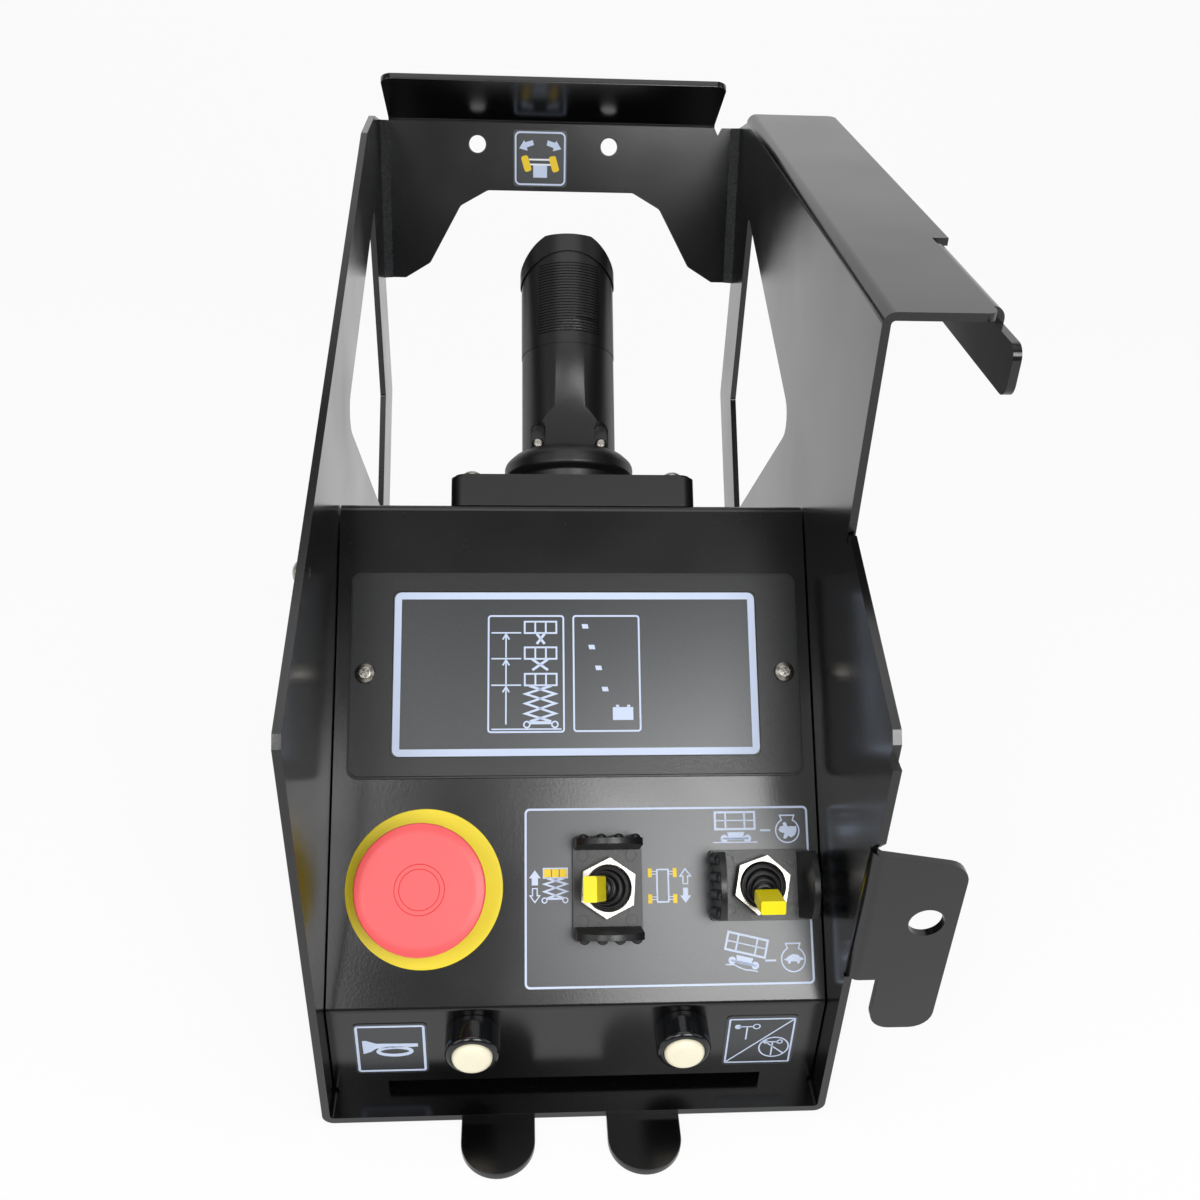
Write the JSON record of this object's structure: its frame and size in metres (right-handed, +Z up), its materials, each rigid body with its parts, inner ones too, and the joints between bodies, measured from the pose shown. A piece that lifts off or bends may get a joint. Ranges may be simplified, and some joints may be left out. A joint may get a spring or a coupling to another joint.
{
  "type": "scissor lift control box",
  "caption": "Platform control box with a steel guard, rail hook, emergency stop, guarded toggle switches, display and drive joystick.",
  "frame": {"origin": "underside of the mounting bracket, in the middle between the side plates and below the enclosure's lower front face", "axes": "+X to the operator's right, towards the rail hook, +Y away from the operator, +Z up"},
  "size_m": [0.2406, 0.4215, 0.3177],
  "materials": {
    "guard_coat": "gloss black powder coat",
    "nickel": "bright nickel plate",
    "black_plastic": "textured black moulding",
    "gloss_black_plastic": "smooth black moulding",
    "grip_plastic": "satin black moulding",
    "label_film": "dark grey printed film",
    "circuit_board": "green solder mask",
    "grey_plastic": "dark grey moulding",
    "block_plastic": "ivory moulding",
    "estop_yellow": "yellow film disc",
    "estop_red": "red moulding",
    "lever_yellow": "yellow lever cap",
    "cream_plastic": "cream moulding",
    "rubber": "black rubber",
    "steel": "machined steel"
  },
  "bodies": {
    "box": {"mounting_bracket": "guard_coat", "bottom_plate": "guard_coat", "left_side_plate": "guard_coat", "right_side_plate": "guard_coat", "rail_hook": "guard_coat", "lock_tab": "guard_coat", "rear_crossbar": "guard_coat", "weld_beads": "guard_coat", "side_screw": "nickel", "enclosure_screws": "nickel", "enclosure_shell": "guard_coat", "rear_cover": "guard_coat", "cover_screws": "nickel", "cable_gland": "black_plastic", "control_module": "grey_plastic", "display_bezel": "black_plastic", "display_label": "label_film", "display_board": "circuit_board", "bezel_screws": "nickel", "control_label": "label_film", "horn_label": "label_film", "function_label": "label_film", "steering_label": "label_film", "estop_disc": "estop_yellow", "estop_collar": "gloss_black_plastic", "estop_nut": "black_plastic", "estop_contact_block": "block_plastic", "lift_toggle_guard": "black_plastic", "lift_toggle_body": "grey_plastic", "lift_toggle_nut": "nickel", "lift_toggle_boot": "rubber", "speed_toggle_guard": "black_plastic", "speed_toggle_body": "grey_plastic", "speed_toggle_nut": "nickel", "speed_toggle_boot": "rubber", "button_bezels": "gloss_black_plastic", "button_nuts": "black_plastic", "button_bodies": "grey_plastic", "joystick_base": "grip_plastic", "joystick_base_screws": "nickel", "joystick_body": "grey_plastic", "joystick_pin": "steel", "joystick_boot": "rubber"},
    "estop_plunger": {"estop_plunger": "steel"},
    "estop_head": {"estop_mushroom": "estop_red"},
    "lift_lever": {"lift_toggle_lever": "steel", "lift_toggle_cap": "lever_yellow"},
    "speed_lever": {"speed_toggle_lever": "steel", "speed_toggle_cap": "lever_yellow"},
    "horn_button": {"horn_button_cap": "cream_plastic"},
    "function_button": {"function_button_cap": "cream_plastic"},
    "joystick": {"joystick_shaft": "steel", "grip_lower": "grip_plastic", "grip_sleeve": "grip_plastic", "grip_cap": "grip_plastic", "grip_screws": "nickel", "grip_pins": "steel"},
    "steer_rocker": {"steer_rocker": "grip_plastic"},
    "enable_trigger": {"enable_trigger": "grip_plastic"}
  },
  "joints": [
    {"name": "estop_push", "type": "slide", "parent": "box", "child": "estop_plunger", "axis": [0, 0.7071, -0.7071], "range_m": [0, 0.005]},
    {"name": "estop_twist", "type": "hinge", "parent": "estop_plunger", "child": "estop_head", "pos_m": [-0.0586, 0.0314, 0.084], "axis": [0, 0.7071, -0.7071], "range_deg": [0, 30], "stiffness_Nm_per_rad": 0.05},
    {"name": "lift_toggle_throw", "type": "hinge", "parent": "box", "child": "lift_lever", "pos_m": [0.0114, 0.02927, 0.08513], "axis": [0, 0.7071, 0.7071], "range_deg": [0, 36], "deforming": ["lift_toggle_boot"]},
    {"name": "speed_toggle_throw", "type": "hinge", "parent": "box", "child": "speed_lever", "pos_m": [0.0707, 0.02949, 0.08534], "axis": [-1, 0, 0], "range_deg": [0, 36], "deforming": ["speed_toggle_boot"]},
    {"name": "horn_button_push", "type": "slide", "parent": "box", "child": "horn_button", "axis": [0, 1, 0], "range_m": [0, 0.003], "stiffness_N_per_m": 400},
    {"name": "function_button_push", "type": "slide", "parent": "box", "child": "function_button", "axis": [0, 1, 0], "range_m": [0, 0.003], "stiffness_N_per_m": 400},
    {"name": "joystick_tilt", "type": "hinge", "parent": "box", "child": "joystick", "pos_m": [0, 0.17763, 0.16234], "axis": [1, 0, 0], "range_deg": [-20, 20], "stiffness_Nm_per_rad": 6, "springref_deg": 1.03, "deforming": ["joystick_boot"]},
    {"name": "steer_rocker_tilt", "type": "hinge", "parent": "joystick", "child": "steer_rocker", "pos_m": [0, 0.2699, 0.25462], "axis": [0, 0.7071, -0.7071], "range_deg": [-10, 10], "stiffness_Nm_per_rad": 0.1},
    {"name": "enable_trigger_pull", "type": "hinge", "parent": "joystick", "child": "enable_trigger", "pos_m": [0, 0.26814, 0.23023], "axis": [-1, 0, 0], "range_deg": [0, 7], "stiffness_Nm_per_rad": 0.3}
  ]
}
